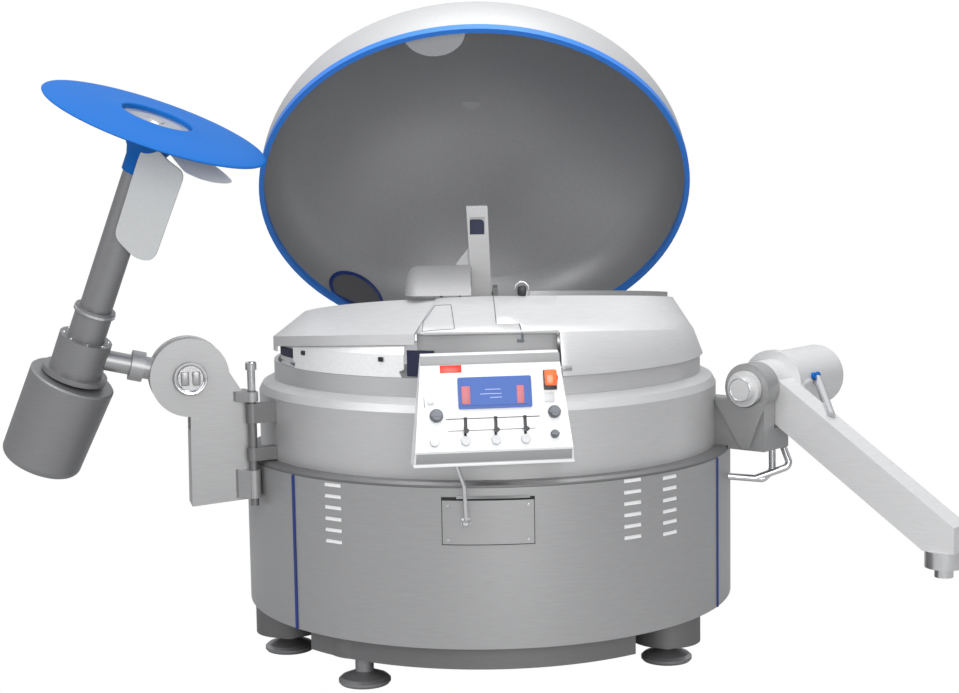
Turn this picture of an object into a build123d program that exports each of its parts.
"""Bowl cutter for minced meat: round body, rotating bowl, knife drive, noise hood,
swing-out unloader on the left and trolley loader on the right.

Built about the ring axis, floor at z = 0, operator's side towards -Y.
At the end everything is moved so that the origin is the bottom centre of the box.
"""
from build123d import *
from math import atan2, cos, degrees, radians, sin
import os

# ------------------------------------------------------------------ driving sizes (mm)
sheet = 5.0                  # stainless cover sheet
gap = 1.0                    # gap left between bodies that move past each other
run_fit = 0.05               # radial running clearance of shafts in their bores

ring_radius = 740.0          # body ring round the bowl
ring_low = 659.0
ring_high = 850.0
ring_wall = 8.0
collar_radius = 690.0        # raised seat collar inside the ring
collar_low = 888.0
collar_high = 944.0
collar_width = 12.0

drum_radius = 786.0          # lower housing
drum_low = 176.0
drum_ledge = 14.0            # thickness of the top plate under the ring
door_start = -137.5          # front door, degrees about the ring axis
door_end = -27.0
seal_width_deg = 0.9

plinth_radius = 736.0
plinth_low = 102.0
plinth_wall = 30.0
plinth_start = -138.0        # visible apron of the plinth
plinth_end = -54.5

foot_disc_radius = 79.0
foot_disc_height = 34.0
foot_stem_radius = 28.0
front_foot = (-386.0, -505.0)
left_foot = (-655.0, -125.0)
right_foot = (548.0, -312.0)
rear_left_foot = (-360.0, 520.0)
rear_right_foot = (420.0, 500.0)
carrier_radius = 106.0
carrier_low = 64.0
carrier_high = 150.0

bowl_x = -110.0              # bowl axis in the ring
bowl_y = 0.0
bowl_radius = 560.0
bowl_top = 930.0
bowl_wall = 12.0
rim_width = 30.0
rim_height = 46.0
trough_radius = 290.0        # radius of the trough's centre circle
hub_top = 952.0
bowl_base = 700.0
bowl_shaft_radius = 45.0

knife_z = 985.0              # knife shaft height
knife_radius = 235.0
knife_gap = 8.0              # knife tip to bowl
knife_count = 6
knife_thickness = 6.0
knife_pitch = 20.0
knife_shaft_radius = 30.0
shaft_right = 592.0
knife_pulley_radius = 80.0
motor_pulley_radius = 110.0
pulley_width = 66.0
pulley_x = 508.0
motor_z = 400.0
motor_y = -330.0
motor_radius = 150.0
motor_length = 400.0
motor_shaft_radius = 30.0

deck_radius = 700.0          # foot of the deck's wall
deck_foot = 860.0
bend_radius = 686.0          # bend between wall and sloping top
bend_x = -14.0               # the bend stands a little left, so the right wall leans in
bend_height = 1008.4         # height of the bend's plane over the ring axis
bend_fall = 0.098            # drop of that plane per mm towards the back
top_width = 610.0            # half axes of the deck's upper edge
top_depth = 485.0
front_height = 1071.9        # upper edge's plane over the ring axis, front deck and lid
front_fall = 0.19
right_height = 1112.8        # the same for the right cover
right_fall = 0.15
roof_lip = 15.0              # flat strip inside the upper edge
deck_start = -164.0
deck_split = -72.0           # joint between front deck and right cover
deck_end = -10.0
deck_gap = 0.2               # degrees left open at the joints
lid_end = -107.5             # end of the left lid over the chute
band_height = 31.0           # upright band under the bend of the left lid
recess_height = 58.0

knife_cover_radius = 262.0
knife_cover_left = -246.0
knife_cover_right = -45.0
knife_cover_corner = 42.0
arm_left = -57.0
arm_width = 66.0
arm_depth = 40.0
arm_y = -200.0
arm_top = 1427.0

hood_radius = 716.0          # noise hood rim
hood_depth = 460.0
hood_knuckle = 240.0         # radius between the hood's skirt and its crown
hood_skirt = 30.0            # straight part at the rim
hood_open = 46.4             # rim plane to the floor, open
hood_closed = 8.0            # rim plane to the floor, closed
hood_yaw = 1.1               # the hood's hinge line is turned a little about Z
hood_center = (-32.0, 190.0, 1459.0)
hood_shell = 6.0
trim_width = 17.0
trim_height = 22.0
hinge_y = 768.0
hinge_z = 1000.0
hinge_pin_radius = 14.0
hinge_spread = 300.0         # half distance between the two hinge arms

console_yaw = 8.0
console_y = -800.0
console_x = 4.0
console_low = 728.0
console_top = 1034.0
console_top_width = 386.0
console_low_width = 450.0
console_depth = 78.0
console_lean = 42.0          # top edge stands this far behind the bottom edge

made = {}


def keep(name, shape):
    """Store one finished piece under its own name."""
    made[name] = shape


# ------------------------------------------------------------------ shape helpers
ON_BASE = (Align.CENTER, Align.CENTER, Align.MIN)


def disc(radius, low, high):
    return Pos(0, 0, low) * Cylinder(radius, high - low, align=ON_BASE)


def ring(outer, inner, low, high):
    return disc(outer, low, high) - disc(inner, low - 1, high + 1)


def block(x, y, z):
    """Box from its (low, high) pairs."""
    size = (x[1] - x[0], y[1] - y[0], z[1] - z[0])
    return Pos(x[0], y[0], z[0]) * Box(*size, align=(Align.MIN,) * 3)


def frame_at(start, end):
    return Plane(origin=start, z_dir=Vector(*end) - Vector(*start))


def rod(start, end, radius):
    length = (Vector(*end) - Vector(*start)).length
    return frame_at(start, end) * Cylinder(radius, length, align=ON_BASE)


def pipe(start, end, radius, bore):
    length = (Vector(*end) - Vector(*start)).length
    hollow = Pos(0, 0, -1) * Cylinder(bore, length + 2, align=ON_BASE)
    return frame_at(start, end) * (Cylinder(radius, length, align=ON_BASE) - hollow)


def turned(points):
    """Solid of revolution about Z from (radius, height) points."""
    return revolve(Plane.XZ * make_face(Polyline(*points, close=True)), Axis.Z)


def wedge(start, end, radius, low, high):
    """Pie slice from start to end degrees about Z."""
    span = end - start
    face = Plane.XZ * make_face(Polyline((0, low), (radius, low), (radius, high), (0, high), close=True))
    return Rot(0, 0, start) * revolve(face, Axis.Z, span)


def polar(radius, angle, z=0.0):
    return (radius * cos(radians(angle)), radius * sin(radians(angle)), z)


def along_x(shape):
    """Lay a piece built along Z so that it runs along +X."""
    return Rot(0, 90, 0) * shape


# ------------------------------------------------------------------ base
foot_places = {
    "foot_front": front_foot,
    "foot_left": left_foot,
    "foot_right": right_foot,
    "foot_rear_left": rear_left_foot,
    "foot_rear_right": rear_right_foot,
}
floor_plate = 16.0
post_size = 70.0
post_radius = 600.0
post_angles = (-125.0, -84.0, 40.0, 140.0)
drive_opening = (470.0, 690.0)
top_plate_high = ring_low
top_plate_low = ring_low - drum_ledge


def make_base():
    plate = disc(plinth_radius - plinth_wall, carrier_high, carrier_high + floor_plate)
    apron = ring(plinth_radius, plinth_radius - plinth_wall, plinth_low, drum_low)
    apron = apron & wedge(plinth_start, plinth_end, drum_radius, 0, ring_low)
    back = ring(plinth_radius, plinth_radius - plinth_wall, plinth_low, carrier_high + floor_plate)
    back = back & wedge(25, 160, drum_radius, 0, ring_low)
    body = plate + apron + back
    for name, (x, y) in foot_places.items():
        low = plinth_low if name in ("foot_front", "foot_rear_left", "foot_rear_right") else carrier_low
        body += Pos(x, y, 0) * disc(carrier_radius, low, carrier_high + floor_plate)
    for angle in post_angles:
        x, y, _ = polar(post_radius, angle)
        post = Box(post_size, post_size, top_plate_low - carrier_high - floor_plate, align=ON_BASE)
        body += Pos(x, y, carrier_high + floor_plate) * Rot(0, 0, angle) * post
    for x, y in foot_places.values():
        body -= Pos(x, y, 0) * disc(foot_stem_radius - 4, 0, carrier_high + 1)
    return body


def make_foot(low):
    """Levelling foot: domed disc on a threaded stem that enters the carrier."""
    pad = turned([(0, 0), (foot_disc_radius - 5, 0), (foot_disc_radius, 6), (foot_disc_radius, 14),
                  (foot_disc_radius - 9, 22), (foot_stem_radius + 12, foot_disc_height),
                  (foot_stem_radius, foot_disc_height + 5), (0, foot_disc_height + 5)])
    stem = disc(foot_stem_radius, foot_disc_height, low - 0.2)
    screw = disc(foot_stem_radius - 4 - run_fit, foot_disc_height, carrier_high - 8)
    return pad + stem + screw


for name, (x, y) in foot_places.items():
    low = plinth_low if name in ("foot_front", "foot_rear_left", "foot_rear_right") else carrier_low
    keep(name, Pos(x, y, 0) * make_foot(low))

belt_slot = block((pulley_x - 50, pulley_x + 50), (motor_y - 140, bowl_y - trough_radius + 130),
                  (top_plate_low - 1, top_plate_high + 1))
gear_hole = Pos(bowl_x, bowl_y, 0) * disc(92, top_plate_low - 1, top_plate_high + 1)
top_plate = disc(drum_radius, top_plate_low, top_plate_high)
keep("base_frame", make_base() + chamfer(top_plate.edges().group_by(Axis.Z)[-1], 8) - belt_slot - gear_hole)

# ------------------------------------------------------------------ lower housing
vent_size = (62.0, 11.0)
vent_pitch = 33.5
vent_columns = ((-125.6, 465.0), (-58.0, 470.0), (-47.2, 461.0))
vent_rows = 6


def shell_arc(start, end, outer, low, high, thick=sheet):
    return ring(outer, outer - thick, low, high) & wedge(start, end, outer + 10, low - 1, high + 1)


def make_door():
    door = shell_arc(door_start, door_end, drum_radius, drum_low, top_plate_low - gap)
    for angle, low in vent_columns:
        for row in range(vent_rows):
            slot = Box(40, vent_size[0], vent_size[1])
            door -= Rot(0, 0, angle) * Pos(drum_radius, 0, low + row * vent_pitch) * slot
    return door


keep("front_door", make_door())
keep("rear_housing", shell_arc(door_end + seal_width_deg, door_start - seal_width_deg + 360,
                               drum_radius, drum_low, top_plate_low))
seals = Compound(children=[
    shell_arc(door_start - seal_width_deg + 0.05, door_start - 0.05, drum_radius + 3, drum_low,
              top_plate_low - gap, 8),
    shell_arc(door_end + 0.05, door_end + seal_width_deg - 0.05, drum_radius + 3, drum_low,
              top_plate_low - gap, 8),
])
keep("door_seals", seals)

hatch_angle = -90.3
hatch_size = (262.0, 126.0)
hatch_low = 483.0
hatch_span = degrees(hatch_size[0] / (drum_radius + 6))


def make_hatch():
    start, end = hatch_angle - hatch_span / 2, hatch_angle + hatch_span / 2
    plate = shell_arc(start, end, drum_radius + 6, hatch_low, hatch_low + hatch_size[1], 4)
    return plate


keep("inspection_hatch", make_hatch())

# ------------------------------------------------------------------ ring and collar
def make_surround():
    inner = ring_radius - ring_wall
    return turned([
        (ring_radius, ring_low), (ring_radius, ring_high), (ring_radius - 12, ring_high + 22),
        (collar_radius + 6, collar_low), (collar_radius, collar_low), (collar_radius, collar_high),
        (collar_radius - collar_width, collar_high), (collar_radius - collar_width, collar_low - 10),
        (ring_radius - 24, ring_high + 6), (inner, ring_high - 8), (inner, ring_low),
    ])


relief_half = 66.0            # half angle of the low part of the collar behind the hood
relief_depth = 46.0
collar_relief = wedge(90 - relief_half, 90 + relief_half, ring_radius - 30, collar_high - relief_depth,
                      collar_high + 1)
console_arm = block((-70, 70), (-900, -660), (760, 850)) - disc(ring_radius - ring_wall / 2, 0, 1400)

# ------------------------------------------------------------------ bowl and its drive
trough_inner = knife_radius + knife_gap
trough_y = bowl_y - trough_radius


def arc_point(radius, angle):
    """Point on the trough section, angle from straight down, outwards positive."""
    return (trough_radius + radius * sin(radians(angle)), knife_z - radius * cos(radians(angle)))


def make_bowl():
    outer = trough_inner + bowl_wall
    side = 58.0
    hub = -77.0
    inner_arc = ThreePointArc(arc_point(trough_inner, hub), arc_point(trough_inner, 0),
                              arc_point(trough_inner, side))
    outer_arc = ThreePointArc(arc_point(outer, side), arc_point(outer, 20), arc_point(outer, -35))
    a, b = arc_point(trough_inner, hub), arc_point(trough_inner, side)
    c, d = arc_point(outer, side), arc_point(outer, -35)
    r = bowl_radius
    path = [
        Line((0, hub_top), (a[0] - 6, hub_top)), Line((a[0] - 6, hub_top), a), inner_arc,
        Line(b, (r - rim_width, bowl_top)), Line((r - rim_width, bowl_top), (r, bowl_top)),
        Line((r, bowl_top), (r, bowl_top - rim_height)),
        Line((r, bowl_top - rim_height), (r - 18, bowl_top - rim_height)),
        Line((r - 18, bowl_top - rim_height), c), outer_arc, Line(d, (110, bowl_base)),
        Line((110, bowl_base), (0, bowl_base)), Line((0, bowl_base), (0, hub_top)),
    ]
    return revolve(Plane.XZ * make_face(path), Axis.Z)


at_bowl = Pos(bowl_x, bowl_y, 0)
keep("bowl", at_bowl * make_bowl())
gearbox_low, gearbox_high = 420.0, 560.0
drive_shaft = disc(140, bowl_base - 14, bowl_base) + disc(bowl_shaft_radius, gearbox_low + 20, bowl_base - 14)
keep("bowl_shaft", at_bowl * drive_shaft)
bearing = ring(90, bowl_shaft_radius + run_fit, gearbox_high, top_plate_high + 14)
gearbox = block((-120, 120), (-110, 110), (gearbox_low, gearbox_high))
gearbox = fillet(gearbox.edges().filter_by(Axis.Z), 24) - disc(bowl_shaft_radius + 2, gearbox_low + 10,
                                                               gearbox_high + 1)
gearbox_stand = block((-90, 90), (-90, 90), (carrier_high + floor_plate, gearbox_low))
gear_motor = Pos(-120, 0,
                 490) * along_x(Cylinder(85, 260,
                                                        align=(Align.CENTER, Align.CENTER, Align.MAX)))
gear_motor += block((-340, -150), (-60, 60), (carrier_high + floor_plate, 430))
keep("bowl_drive", at_bowl * (gearbox + bearing + gearbox_stand + gear_motor))

# ------------------------------------------------------------------ knife drive
knife_x = bowl_x             # the knives stand over the trough's deepest line
shaft_left = knife_x - 75.0
head_left = knife_x - knife_count * knife_pitch / 2


def make_shaft():
    core = Pos(shaft_left, 0,
               0) * along_x(Cylinder(knife_shaft_radius, shaft_right - shaft_left, align=ON_BASE))
    return Pos(0, trough_y, knife_z) * core


def knife_blade():
    """One sickle-shaped blade, flat on the XY plane, hub at the origin."""
    edge = [(0, 48), (70, 92), (150, 100), (205, 64), (knife_radius, 0), (196, -12), (130, 4), (60, -30),
            (0, -48)]
    face = make_face(Polyline(*edge, close=True)) + Circle(62)
    swept = Circle(knife_radius)
    return extrude((face & swept) - Circle(knife_shaft_radius), knife_thickness)


def make_knives():
    blades = []
    for i in range(knife_count):
        turn = i * 360.0 * 2 / knife_count + (30 if i >= knife_count / 2 else 0)
        blade = along_x(Rot(0, 0, turn) * knife_blade())
        blades.append(Pos(head_left + i * knife_pitch + 7, trough_y, knife_z) * blade)
    return blades


keep("knife_blades", Compound(children=make_knives()))
spacers = []
for i in range(knife_count + 1):
    low = head_left + (i - 1) * knife_pitch + 7 + knife_thickness
    high = head_left + i * knife_pitch + 7
    spacers.append(Pos(low, trough_y, knife_z) * along_x(
        Cylinder(56, high - low, align=ON_BASE) - Cylinder(knife_shaft_radius, high - low, align=ON_BASE)))
nut = along_x(extrude(RegularPolygon(46, 6) - Circle(knife_shaft_radius), 26))
nut_x = head_left - knife_pitch + 7 + knife_thickness - 26
keep("knife_shaft", make_shaft() + spacers + [Pos(nut_x, trough_y, knife_z) * nut])

housing_left = head_left + knife_count * knife_pitch + 30
housing_right = pulley_x - pulley_width / 2 - 14


def make_bearing_housing():
    bore = knife_shaft_radius + run_fit
    barrel = Pos(housing_left, 0, 0) * along_x(Cylinder(44, housing_right - housing_left, align=ON_BASE))
    barrel += Pos(housing_right - 60, 0, 0) * along_x(Cylinder(70, 60, align=ON_BASE))
    barrel += block((housing_right - 60, housing_right), (-60, 60), (top_plate_high - knife_z, 0))
    barrel = Pos(0, trough_y, knife_z) * barrel
    return barrel - Pos(0, trough_y, knife_z) * Pos(housing_left - 1, 0, 0) * along_x(
        Cylinder(bore, housing_right - housing_left + 2, align=ON_BASE))


cover_hinge_y, cover_hinge_z = -50.0, 1145.0
cover_pin_radius = 10.0


def make_cover_hinge():
    """Cheek on the bearing barrel with the pin that the knife cover turns on."""
    cheek = Pos(22, 0, 0) * extrude(Plane.YZ * make_face(Polyline(
        (-326, 990), (-254, 990), (-30, 1112), (-28, 1160), (-42, 1168), (-76, 1160), close=True)), 16)
    pin = Pos(-18, cover_hinge_y, cover_hinge_z) * along_x(Cylinder(cover_pin_radius, 46, align=ON_BASE))
    return cheek + pin


keep("knife_bearing_housing",
     make_bearing_housing() + (make_cover_hinge() - Pos(0, trough_y, knife_z) * along_x(
    Cylinder(40, 300))))


def make_pulley(radius, bore):
    body = Cylinder(radius, pulley_width)
    for i in range(5):
        groove = Cylinder(radius + 5, 6) - Cylinder(radius - 7, 6)
        body -= Pos(0, 0, (i - 2) * 12) * groove
    return along_x(body - Cylinder(bore, pulley_width + 2))


keep("knife_pulley", Pos(pulley_x, trough_y, knife_z) * make_pulley(knife_pulley_radius, knife_shaft_radius))


def make_belt():
    """Open belt band that runs just clear of both pulleys."""
    a = (trough_y, knife_z)
    b = (motor_y, motor_z)
    outer = make_hull([Pos(*a) * Circle(knife_pulley_radius + 7).edge(),
                       Pos(*b) * Circle(motor_pulley_radius + 7).edge()])
    inner = make_hull([Pos(*a) * Circle(knife_pulley_radius + 1).edge(),
                       Pos(*b) * Circle(motor_pulley_radius + 1).edge()])
    return Pos(pulley_x - 29, 0, 0) * extrude(Plane.YZ * (outer - inner), 58)


keep("drive_belt", make_belt())


def make_motor():
    right = pulley_x - pulley_width / 2 - 20
    frame = Pos(right - motor_length, motor_y,
                motor_z) * along_x(Cylinder(motor_radius, motor_length, align=ON_BASE))
    feet = block((right - motor_length + 40, right - 40), (motor_y - 120, motor_y + 120),
                 (carrier_high + floor_plate, motor_z - 100))
    return frame + feet - Pos(right - 121, motor_y, motor_z) * along_x(
        Cylinder(motor_shaft_radius + run_fit, 130, align=ON_BASE))


keep("main_motor", make_motor())
motor_right = pulley_x - pulley_width / 2 - 20
motor_shaft = Pos(motor_right - 120, motor_y, motor_z) * along_x(
    Cylinder(motor_shaft_radius, pulley_x + pulley_width / 2 - motor_right + 120, align=ON_BASE))
keep("motor_pulley",
     Pos(pulley_x, motor_y, motor_z) * make_pulley(motor_pulley_radius, motor_shaft_radius - 2)
     + motor_shaft)

# ------------------------------------------------------------------ deck
foot_outline = (0.0, deck_radius, deck_radius, deck_foot, 0.0)
bend_outline = (bend_x, bend_radius, bend_radius, bend_height, bend_fall)
front_outline = (0.0, top_width, top_depth, front_height, front_fall)
right_outline = (0.0, top_width, top_depth, right_height, right_fall)


def falling_plane(x, height, fall):
    """Plane through (x, 0, height) that drops towards the back."""
    return Plane(origin=(x, 0, height), x_dir=(1, 0, 0), z_dir=(0, fall, 1))


def deck_section(outline, inset, drop):
    x, width, depth, height, fall = outline
    return falling_plane(x, height - drop, fall) * Ellipse(width - inset, depth - inset)


def deck_body(top_outline, inset=0.0):
    """Solid under the deck: leaning wall, then a sloping top up to the upper edge."""
    return loft([deck_section(foot_outline, inset, 0), deck_section(bend_outline, inset, inset / 2),
                 deck_section(top_outline, inset, inset)], ruled=True)


def deck_piece(top_outline, start, end, wall_low):
    """One crescent of the deck as open-bottomed sheet: outer wall, sloping top and narrow flat lip."""
    opening = Pos(0, 0, wall_low) * extrude(Ellipse(top_width - roof_lip, top_depth - roof_lip), 600)
    body = deck_body(top_outline) - deck_body(top_outline, sheet) - opening
    return body & wedge(start, end, 800, wall_low, 1400)


def below_bend(depth):
    """Everything lower than a plane at some depth under the bend."""
    return falling_plane(0, bend_height - depth, bend_fall) * Box(1800, 1800, 400, align=(
        Align.CENTER, Align.CENTER, Align.MAX))


keep("front_deck", deck_piece(front_outline, lid_end, deck_split, deck_foot) - below_bend(recess_height))
lid_cheek_end = deck_start + 3.5
lid = deck_piece(front_outline, deck_start, lid_end - deck_gap, collar_high + 40)
keep("chute_lid", lid - (below_bend(band_height) & wedge(lid_cheek_end, lid_end + 5, 800, 0, 1400)))
keep("right_deck", deck_piece(right_outline, deck_split + deck_gap, deck_end, collar_high + gap))

flap_start, flap_end = -149.5, -110.5
flap_radius = collar_radius - 1
flap_sheet = 4.0
flap_top = 1012.0
hook_angles = (-143.5, -116.5)


def make_flap():
    """Curved plate that closes the chute, slanted at its ends, with two hooks."""
    low = collar_high + gap
    body = shell_arc(flap_start, flap_end, flap_radius, low, flap_top, flap_sheet)
    for angle, lean in ((flap_start, -24), (flap_end, 24)):
        cut = Rot(lean, 0, 0) * Box(80, 60, 90, align=(Align.CENTER, Align.CENTER, Align.CENTER))
        side = 1 if lean > 0 else -1
        body -= Rot(0, 0, angle) * Pos(flap_radius, side * 30, low - 12) * cut
    for angle in hook_angles:
        hook = block((flap_radius - flap_sheet, flap_radius + 7), (-7, 7), (flap_top - 22, flap_top - 8))
        body += Rot(0, 0, angle) * fillet(hook.edges().filter_by(Axis.Y), 3)
    return body


keep("chute_flap", make_flap())

# knife cover: part cylinder about the knife shaft
def make_knife_cover():
    length = knife_cover_right - knife_cover_left
    full = Cylinder(knife_cover_radius, length, align=ON_BASE)
    full = fillet(full.edges().group_by(Axis.Z)[0], knife_cover_corner)
    inner = Pos(0, 0, sheet) * Cylinder(knife_cover_radius - sheet, length, align=ON_BASE)
    inner = fillet(inner.edges().group_by(Axis.Z)[0], knife_cover_corner - sheet)
    hood = Pos(knife_cover_left, trough_y, knife_z) * along_x(full - inner)
    low = 1168.0
    return hood & block((-400, 400), (-900, 400), (low, 1400))


keep("knife_cover", make_knife_cover())


def make_cover_arm():
    """Upright lever beside the cover with a gusset that ties it to the cover's top."""
    arm_right = arm_left + arm_width
    outline = Polyline((arm_left + 14, 1120), (arm_right + 9, 1120), (arm_right, arm_top),
                       (arm_left, arm_top),
                       close=True)
    body = Pos(0, arm_y + arm_depth / 2, 0) * extrude(Plane.XZ * make_face(outline), arm_depth)
    pocket = block((arm_left + 10, arm_left + 56), (arm_y - arm_depth, arm_y - arm_depth / 2 + 8),
                   (1338, 1392))
    tie = Pos(0, arm_y + 4, 0) * extrude(Plane.XZ * make_face(Polyline(
        (-120, 1200), (arm_left + 13, 1200), (arm_left + 8, 1300), (-100, 1236), close=True)), 8)
    lug = Pos(-14, 0, 0) * extrude(Plane.YZ * make_face(Polyline(
        (arm_y, 1126), (cover_hinge_y, 1127), (cover_hinge_y, 1163), (arm_y, 1190), close=True)), 32)
    lug += Pos(-14, cover_hinge_y, cover_hinge_z) * along_x(Cylinder(18, 32, align=ON_BASE))
    body += lug - Pos(-15, cover_hinge_y,
                      cover_hinge_z) * along_x(Cylinder(cover_pin_radius + run_fit, 34, align=ON_BASE))
    solid_cover = along_x(Cylinder(knife_cover_radius, 400, align=ON_BASE))
    tie -= Pos(knife_cover_left, trough_y, knife_z) * solid_cover
    return body - pocket + tie


keep("cover_arm", make_cover_arm() - Pos(-200, trough_y, knife_z) * along_x(
    Cylinder(knife_cover_radius, 200 + knife_cover_right, align=ON_BASE)))

# ------------------------------------------------------------------ noise hood
hood_yaw_turn = Rot(0, 0, hood_yaw)
at_hood = Pos(*hood_center) * hood_yaw_turn * Rot(-hood_open, 0, 0)
hinge_back = hinge_y - hood_center[1]
hinge_down = hinge_z - hood_center[2]
pin_local_y = hinge_back * cos(radians(hood_open)) - hinge_down * sin(radians(hood_open))
pin_local_z = hinge_back * sin(radians(hood_open)) + hinge_down * cos(radians(hood_open))
lug_thickness = 20.0
cheek_thickness = 16.0


def cap(inset):
    """Solid dome over the XY plane: skirt, knuckle and flat crown, set in by a wall's thickness."""
    centre_r, rise = hood_radius - 4 - hood_knuckle, hood_depth - hood_skirt
    crown = (centre_r ** 2 + rise ** 2 - hood_knuckle ** 2) / (2 * (rise - hood_knuckle))
    crown_z = hood_depth - crown
    turn = atan2(hood_skirt - crown_z, centre_r)
    knuckle_r, crown_r = hood_knuckle - inset, crown - inset
    middle = (centre_r + knuckle_r * cos(turn / 2), hood_skirt + knuckle_r * sin(turn / 2))
    meet = (centre_r + knuckle_r * cos(turn), hood_skirt + knuckle_r * sin(turn))
    half = (turn + radians(90)) / 2
    over = (crown_r * cos(half), crown_z + crown_r * sin(half))
    side = (centre_r + knuckle_r, hood_skirt)
    face = make_face([
        Line((0, 0), (side[0], 0)), Line((side[0], 0), side), ThreePointArc(side, middle, meet),
        ThreePointArc(meet, over, (0, crown_z + crown_r)), Line((0, crown_z + crown_r), (0, 0)),
    ])
    return revolve(Plane.XZ * face, Axis.Z)


hood_outer = cap(0)
hood_inner = cap(hood_shell)


def hood_lug(x):
    """Arm from the shell to the hinge pin."""
    bar = block((x - lug_thickness / 2, x + lug_thickness / 2), (430, pin_local_y),
                (pin_local_z - 36, pin_local_z + 36))
    eye = Pos(x - lug_thickness / 2, pin_local_y,
              pin_local_z) * along_x(Cylinder(36, lug_thickness, align=ON_BASE))
    bore = Pos(x - lug_thickness, pin_local_y, pin_local_z) * along_x(
        Cylinder(hinge_pin_radius + run_fit, 2 * lug_thickness, align=ON_BASE))
    return bar + eye - hood_outer - bore


lug_places = (-hinge_spread, hinge_spread)
hood_body = hood_outer - hood_inner - disc(900, -1, 1)
for x in lug_places:
    hood_body += hood_lug(x)
keep("noise_hood", at_hood * hood_body)
keep("hood_trim", at_hood * ring(hood_radius, hood_radius - trim_width, 1 - trim_height, 1))
tab = Pos(-123, -688, 0) * disc(96, 1, 5) & hood_inner
keep("hood_tab", at_hood * tab)

at_hinge = Pos(*hood_center) * hood_yaw_turn * Pos(0, hinge_back, hinge_down)


def make_hood_brackets():
    parts = []
    for x in lug_places:
        for side in (-1, 1):
            low = x + side * (lug_thickness / 2 + gap + cheek_thickness / 2) - cheek_thickness / 2
            plate = block((low, low + cheek_thickness), (-66, 30), (-250, 0))
            plate += Pos(low, 0, 0) * along_x(Cylinder(30, cheek_thickness, align=ON_BASE))
            plate -= Pos(low - 1, 0,
                         0) * along_x(Cylinder(hinge_pin_radius, cheek_thickness + 2, align=ON_BASE))
            parts.append(plate)
        parts.append(block((x - 60, x + 60), (-140, 30), (-290, -150)))
    return at_hinge * (parts[0] + parts[1:])


pin_half = lug_thickness / 2 + gap + cheek_thickness + 6
hinge_pins = [at_hinge * Pos(x - pin_half, 0,
                             0) * along_x(Cylinder(hinge_pin_radius, 2 * pin_half, align=ON_BASE))
              for x in lug_places]
keep("hood_brackets", make_hood_brackets() - disc(ring_radius, 0, 1400) + hinge_pins)

# ------------------------------------------------------------------ console
at_console = Pos(console_x, console_y, 0) * Rot(0, 0, console_yaw)
face_foot = -96.0
face_head = -32.0
face_low = 772.0
face_top = 1016.0
face_lean = degrees(atan2(face_head - face_foot, face_top - face_low))
face_plane = Plane(origin=(0, (face_foot + face_head) / 2, (face_low + face_top) / 2), x_dir=(1, 0, 0),
                   z_dir=(0, -cos(radians(face_lean)), sin(radians(face_lean))))
face_spot = face_plane.location
console_wall = 4.0


def console_block(grow):
    outline = Polyline((-console_low_width / 2 + grow, console_low + grow),
                       (console_low_width / 2 - grow, console_low + grow),
                       (console_top_width / 2 - grow, console_top - grow), (-console_top_width / 2 + grow,
                                                                            console_top - grow),
                       close=True)
    across = extrude(Plane.XZ * make_face(outline), 140)
    side = Polyline((0 - grow, console_low), (face_foot + 14 + grow, console_low),
                    (face_foot + grow, face_low),
                    (face_head + grow, face_top), (face_head + 10 + grow, console_top), (0 - grow,
                                                                                         console_top), close=True)
    return across & Pos(-300, 0, 0) * extrude(Plane.YZ * make_face(side), 600)


def on_face(x, z, shape):
    """Stand a piece on the console face at side position x and height z."""
    along = (z - (face_low + face_top) / 2) / cos(radians(face_lean))
    return at_console * face_spot * Pos(x, along, 0) * shape


control_depth = 26.0
buttons = (("button_one", -166.0), ("button_two", -80.0), ("button_three", 5.0), ("button_four", 88.0))
button_row = 798.0
button_radius = 13.0
levers = (("lever_one", -80.0), ("lever_two", 5.0), ("lever_three", 88.0))
lever_row = 822.0
knobs = (("knob_left", -158.0, 868.0, 19.0), ("knob_right", 172.0, 868.0, 18.0),
         ("knob_small", 170.0, 808.0, 12.0))
stop_place = (168.0, 958.0)
stop_radius = 17.0
control_bore = 8.0


def make_console():
    body = console_block(0) - console_block(console_wall)
    bore = Pos(0, 0, -control_depth) * Cylinder(control_bore, control_depth * 2, align=ON_BASE)
    for _, x in buttons:
        body -= at_console.inverse() * on_face(x, button_row, bore)
    for _, x in levers:
        slot = Box(7, 34, 60)
        body -= at_console.inverse() * on_face(x, lever_row, slot)
    for _, x, z, _ in knobs:
        body -= at_console.inverse() * on_face(x, z, bore)
    body -= at_console.inverse() * on_face(*stop_place, bore)
    return at_console * body


keep("console_housing", make_console())
screen = Pos(0, 0, 0.0) * Box(206, 88, 6, align=ON_BASE)
screen_glass = Pos(0, 0, 6) * Box(186, 70, 1.5, align=ON_BASE)
screen_body = fillet(screen.edges().filter_by(Axis.Z), 5) + screen_glass
keep("screen", on_face(8, 926, screen_body))


def make_button():
    """Push button: cap outside, stem through the panel, retaining head behind it."""
    cap_body = Pos(0, 0, 4) * Cylinder(button_radius, 9, align=ON_BASE)
    stem = Pos(0, 0, -12) * Cylinder(control_bore - run_fit, 16, align=ON_BASE)
    return chamfer(cap_body.edges().group_by(Axis.Z)[-1], 1.5) + stem


def make_lever():
    stick = Pos(0, 0, -6) * Box(5, 10, 26, align=ON_BASE)
    grip = Pos(0, 0, 20) * Cylinder(6, 22, align=ON_BASE)
    hub = Rot(0, 90, 0) * Cylinder(6, 5)
    return stick + fillet(grip.edges(), 2) + hub


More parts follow.
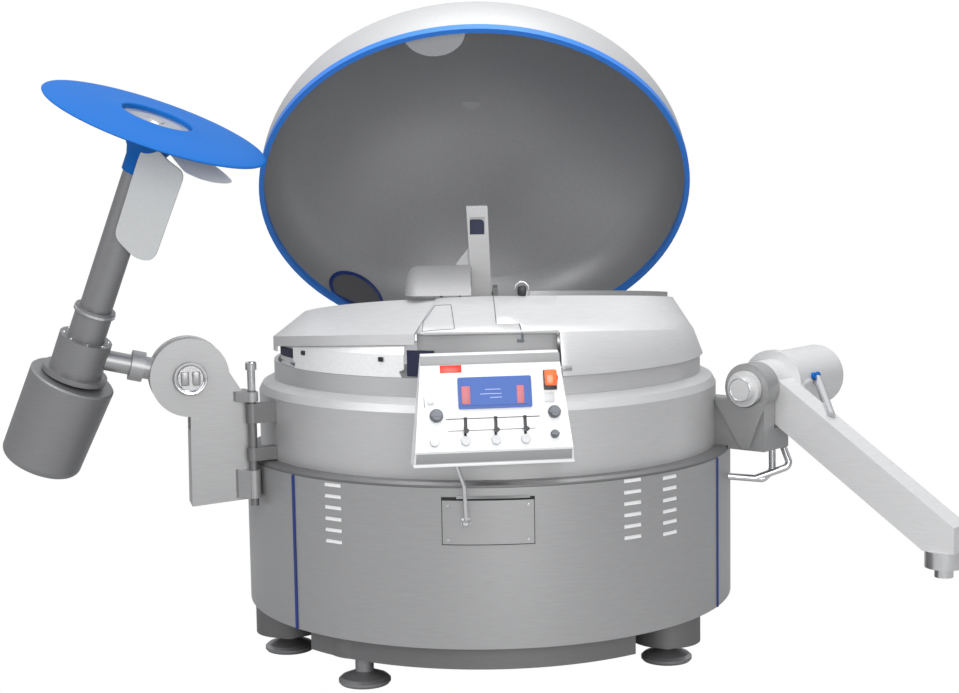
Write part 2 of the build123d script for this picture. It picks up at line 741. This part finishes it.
def make_knob(radius):
    skirt = Pos(0, 0, 1) * Cylinder(radius, 5, align=ON_BASE)
    grip = Pos(0, 0, 6) * Cylinder(radius - 4, 16, align=ON_BASE)
    bar = Pos(0, 0, 6) * Box(radius * 1.7, 6, 18, align=ON_BASE)
    stem = Pos(0, 0, -14) * Cylinder(control_bore - run_fit, 15.5, align=ON_BASE)
    return skirt + chamfer(grip.edges().group_by(Axis.Z)[-1], 1.5) + bar + stem


for name, x in buttons:
    keep(name, on_face(x, button_row, make_button()))
for name, x in levers:
    keep(name, on_face(x, lever_row, make_lever()))
for name, x, z, radius in knobs:
    keep(name, on_face(x, z, make_knob(radius)))
stop_head = Pos(0, 0, 10) * Cylinder(stop_radius, 12, align=ON_BASE)
stop_stem = Pos(0, 0, -14) * Cylinder(control_bore - run_fit, 25, align=ON_BASE)
keep("emergency_stop", on_face(*stop_place, fillet(stop_head.edges(), 4) + stop_stem))

console_arm -= at_console * block((-300, 300), (-200, 0), (600, 1200))
keep("bowl_surround", make_surround() - collar_relief + console_arm)

conduit_path = [(-92, -838, 726), (-70, -834, 660), (-66, -812, 560), (-66, -794, 540)]
line = FilletPolyline(*conduit_path, radius=18)
keep("console_conduit", sweep(Plane(origin=line @ 0, z_dir=line % 0) * Circle(6), path=line))

# ------------------------------------------------------------------ unloader on the left
swing_x, swing_y = -721.0, -372.0
swing_pin_radius = 13.0
pivot_x, pivot_z = -918.0, 924.0
fork_front = (-392.0, -376.0)
fork_rear = (-300.0, -284.0)
knuckle = (-374.0, -302.0)
head_radius = 120.0
pivot_pin_radius = 28.0
fork_yaw = 14.7              # the fork's plane turned out of the XZ plane
clamp_point = Vector(-1226.4, -428.2, 1002.9)
column_length = 749.0
column_dir = Vector(0.367, -0.160, 0.9164)
at_column = Plane(origin=clamp_point, z_dir=column_dir, x_dir=(0.9283, 0, -0.3718))
pivot_y = (knuckle[0] + knuckle[1]) / 2
turn_fork = Pos(pivot_x, pivot_y, 0) * Rot(0, 0, fork_yaw) * Pos(-pivot_x, -pivot_y, 0)
fork_outline = [(-846, 1000), (-831, 989), (-755, 864), (-744, 850), (-744, 540), (-924, 526), (-920, 808),
                (-963, 833), (-1010, 860)]


def xz_plate(points, y):
    """Plate with an outline in XZ between two Y values."""
    return Pos(0, y[1], 0) * extrude(Plane.XZ * make_face(Polyline(*points, close=True)), y[1] - y[0])


def along_y(x, z, radius, y):
    return rod((x, y[0], z), (x, y[1], z), radius)


def make_fork():
    body = None
    for y in (fork_front, fork_rear):
        plate = xz_plate(fork_outline + [(pivot_x, pivot_z)], y) + along_y(pivot_x, pivot_z, head_radius, y)
        body = plate if body is None else body + plate
    body += xz_plate([(-744, 760), (-744, 540), (-924, 526), (-921, 760)], (fork_front[0], fork_rear[1]))
    body -= along_y(pivot_x, pivot_z, head_radius + 32, (knuckle[0] - gap, knuckle[1] + gap))
    body -= along_y(pivot_x, pivot_z, pivot_pin_radius + run_fit, (-500, -200))
    body = turn_fork * body
    for low, high in ((548.0, 634.0), (846.0, 876.0)):
        lug = Pos(swing_x, swing_y, 0) * disc(20, low, high)
        web = make_face(Polyline((swing_x - 8, swing_y - 20), (swing_x + 8, swing_y + 20), (-756, -288),
                                 (-800, -330),
                                 (-770, -370), close=True))
        body += lug + Pos(0, 0, low) * extrude(web, high - low)
    body -= Pos(swing_x, swing_y, 0) * disc(swing_pin_radius + run_fit, 0, 1400)
    return body


keep("unloader_bracket", make_fork())


def make_swing_hinge():
    """Fixed lugs that carry the vertical swing pin."""
    angle = degrees(atan2(swing_y, swing_x))
    body = None
    for low, high in ((664.0, 704.0), (780.0, 840.0)):
        lug = Pos(swing_x, swing_y, 0) * disc(19, low, high)
        web = Pos(0, 0, low) * Box(90, 38, high - low, align=(Align.MIN, Align.CENTER, Align.MIN))
        lug += Rot(0, 0, angle) * Pos(722, 0, 0) * web
        body = lug if body is None else body + lug
    return body - disc(ring_radius, 0, 1400)


swing_pin_top = 880.0
at_swing = Pos(swing_x, swing_y, 0)
swing_bore = disc(7 + run_fit, swing_pin_top - 90, swing_pin_top + 1)
keep("swing_hinge",
     make_swing_hinge() + at_swing * disc(swing_pin_radius, 524, swing_pin_top) - at_swing * swing_bore)
lock = disc(7, swing_pin_top - 80, 950) + disc(12, swing_pin_top + gap, 944) + disc(17, 944, 968)
keep("lock_pin", Pos(swing_x, swing_y, 0) * chamfer(lock.edges().group_by(Axis.Z)[-1], 3))


knuckle_centre = Vector(pivot_x, pivot_y, pivot_z)
shaft_dir = (clamp_point - knuckle_centre).normalized()
shaft_reach = (clamp_point - knuckle_centre).length
clamp_radius = 80.0
clamp_core = at_column * disc(clamp_radius, -50, 58)


def on_cross_shaft(radius, start, end):
    """Cylinder on the line from the pivot to the column's clamp."""
    return Plane(origin=knuckle_centre + shaft_dir * start, z_dir=shaft_dir) * Cylinder(radius,
                                                                                        end - start, align=ON_BASE)


def make_knuckle():
    """Hub between the fork's cheeks, cross shaft to the clamp, and the pivot pin with its front washer."""
    hub = turn_fork * along_y(pivot_x, pivot_z, head_radius - 4, knuckle)
    neck = on_cross_shaft(34, head_radius + 2, head_radius + 60) + on_cross_shaft(46, 140, 180)
    neck += on_cross_shaft(34, 60, head_radius + 2) & (turn_fork * block((-1300, -600), knuckle, (600, 1300)))
    pin = along_y(pivot_x, pivot_z, pivot_pin_radius, (fork_front[0] - 4, fork_rear[1] + 12))
    washer = along_y(pivot_x, pivot_z, 50, (fork_front[0] - 18, fork_front[0] - gap))
    return hub + neck + turn_fork * (pin + washer) + (on_cross_shaft(31, 150, shaft_reach) - clamp_core)


keep("unloader_knuckle", make_knuckle())

tube_radius = 48.5
shaft_radius = 18.0
tube_top = 592.0
motor_top = -66.0
motor_bottom = -372.0


def make_column():
    body = disc(tube_radius, 58, tube_top) + disc(56, 58, 140) + disc(61, 140, 158)
    return at_column * (body - disc(shaft_radius + run_fit, 250, tube_top + 1))


keep("unloader_column", make_column() + at_column * (disc(clamp_radius, -50, 59) + disc(98, motor_top, -50)))
motor_tilt = 3.4             # the motor hangs a little off the column's line
at_unloader_motor = at_column * Pos(0, 0, motor_top) * Rot(0, motor_tilt, 0)
unloader_motor_top_radius = 130.0
unloader_motor_low_radius = 122.0
unloader_motor_length = motor_top - motor_bottom


def make_unloader_motor():
    low, high = -unloader_motor_length, -9.0
    body = turned([(0, low), (unloader_motor_low_radius, low), (unloader_motor_top_radius, high), (0, high)])
    body = fillet(body.edges().group_by(Axis.Z)[0], 26)
    return chamfer(body.edges().group_by(Axis.Z)[-1], 5)


keep("unloader_motor", at_unloader_motor * make_unloader_motor())

disc_radius = 336.0
cap_radius = 107.0
disc_edge = column_length - 4
disc_top = column_length + 28


def make_disc():
    body = turned([(0, disc_edge - 14), (120, disc_edge - 14), (disc_radius - 12, disc_edge - 4),
                   (disc_radius, disc_edge + 2),
                   (disc_radius - 4, disc_edge + 8), (200, disc_edge + 22), (cap_radius + 14, disc_top),
                   (cap_radius, disc_top), (cap_radius, disc_top - 12), (0, disc_top - 12)])
    neck = disc(54, tube_top + 2, disc_edge)
    return body + neck


keep("unloader_disc", at_column * (make_disc() + disc(shaft_radius, 260, disc_edge - 30)))
keep("disc_cap",
     at_column * turned([(0, disc_top - 12), (cap_radius - 0.5, disc_top - 12),
                         (cap_radius - 0.5, disc_top - 4),
                                    (30, disc_top - 1), (0, disc_top - 1)]))

scraper = [(13, 712), (137, 658), (127, 383), (105, 362), (72, 358), (-2, 395), (-2, 577)]
wing = [(16, 700), (24, 716), (272, 726), (278, 690), (214, 668), (150, 662), (124, 648)]


def local_plate(points, y):
    return Pos(0, y[1], 0) * extrude(Plane.XZ * make_face(Polyline(*points, close=True)), y[1] - y[0])


keep("scraper_plate", at_column * (local_plate(scraper, (-62, -54)) + block((2, 40), (-54, -20), (420, 580))
                                   + local_plate(wing, (-69, -61))
                                   - disc(tube_radius, 0, 900) - disc(56, tube_top, 900)))

# ------------------------------------------------------------------ loader on the right
hub_point = Vector(782, -290, 846)
hub_dir = Vector(0.643, 0.766, 0)
at_hub = Plane(origin=hub_point, z_dir=hub_dir, x_dir=(0.766, -0.643, 0))
beam_slope = 34.0
beam_half = 61.0
beam_near, beam_far = 107.0, 192.0
loader_shaft_radius = 40.0
bearing_radius = 78.0
loader_motor_radius = 98.0
loader_motor_end = 505.0


def hub_plate(points, low, high):
    """Plate with an outline in the hub's face plane, x outwards and y downwards."""
    return Pos(0, 0, low) * extrude(make_face(Polyline(*points, close=True)), high - low)


bx, by = cos(radians(beam_slope)), sin(radians(beam_slope))
top_root = (beam_half * by, -beam_half * bx)
low_root = (-beam_half * by, beam_half * bx)
end_x = 662.0
end_y = 452.0
top_end = (end_x, top_root[1] + (end_x - top_root[0]) * by / bx)
low_end = (low_root[0] + (end_y - low_root[1]) * bx / by, end_y)
beam_face = [top_root, top_end, (end_x, end_y), low_end, low_root]


def make_beam():
    body = hub_plate(beam_face, beam_near, beam_far) + disc(bearing_radius, beam_near, beam_far)
    body -= disc(loader_shaft_radius, 0, beam_far - 20)
    return body


stud_x = 612.0
stud_s = (beam_near + beam_far) / 2
down = Rot(-90, 0, 0)
coupling = Cylinder(57, 50, align=ON_BASE) + Cylinder(28, 80, align=ON_BASE)
keep("coupling_stud", at_hub * Pos(stud_x, end_y, stud_s) * down * coupling)
hub_shaft = disc(39, 0, 12) + disc(loader_shaft_radius, 12, beam_far - 20) + disc(56, 18, 38)
keep("loader_beam", at_hub * (make_beam() + hub_shaft))
loader_motor = disc(loader_motor_radius, 214, loader_motor_end)
loader_motor = fillet(loader_motor.edges().group_by(Axis.Z)[-1], 30) + disc(106, beam_far, 214)
keep("loader_motor", at_hub * loader_motor)


def make_loader_bracket():
    housing = disc(bearing_radius, 40, beam_near - 3)
    box = block((-150, 62), (36, 196), (42, beam_near - 5))
    lower = block((-60, 62), (128, 196), (42, 190))
    gusset = hub_plate([(-116, 39), (73, 39), (13, 190), (-14, 190)], 30, 42)
    body = housing + box + lower + gusset
    body -= disc(loader_shaft_radius + run_fit, 0, 200) + disc(60, 0, 40)
    return at_hub * body - disc(ring_radius, 0, 1400) - disc(drum_radius, 0, ring_low)


keep("loader_bracket", make_loader_bracket())
strut_top = at_hub.from_local_coords(Vector(104, -10, 300))
strut_low = at_hub.from_local_coords(Vector(235, 82, 150))
strut = rod(tuple(strut_top), tuple(strut_low), 14)
keep("torque_strut", strut - at_hub * make_beam() - at_hub * disc(loader_motor_radius, 214, 600))


def bent_tube(points, radius, bend):
    path = FilletPolyline(*points, radius=bend)
    return sweep(Plane(origin=path @ 0, z_dir=path % 0) * Circle(radius), path=path)


rail_main = bent_tube([(745, -200, 560), (870, -200, 548), (900, -192, 575), (900, -186, 652)], 11, 20)
rail_branch = bent_tube([(845, -200, 551), (955, -205, 590), (935, -178, 652)], 11, 20)
keep("guard_rail", rail_main + rail_branch - disc(drum_radius, 0, 656) - make_loader_bracket())

# ------------------------------------------------------------------ export
everything = Compound(children=list(made.values()))
box = everything.bounding_box()
shift = Pos(-(box.min.X + box.max.X) / 2, -(box.min.Y + box.max.Y) / 2, -box.min.Z)
print("shift", shift.position, "size", box.size)

os.makedirs("parts", exist_ok=True)
for name, shape in made.items():
    export_step(Compound(children=(shift * shape).solids()), f"parts/{name}.step")
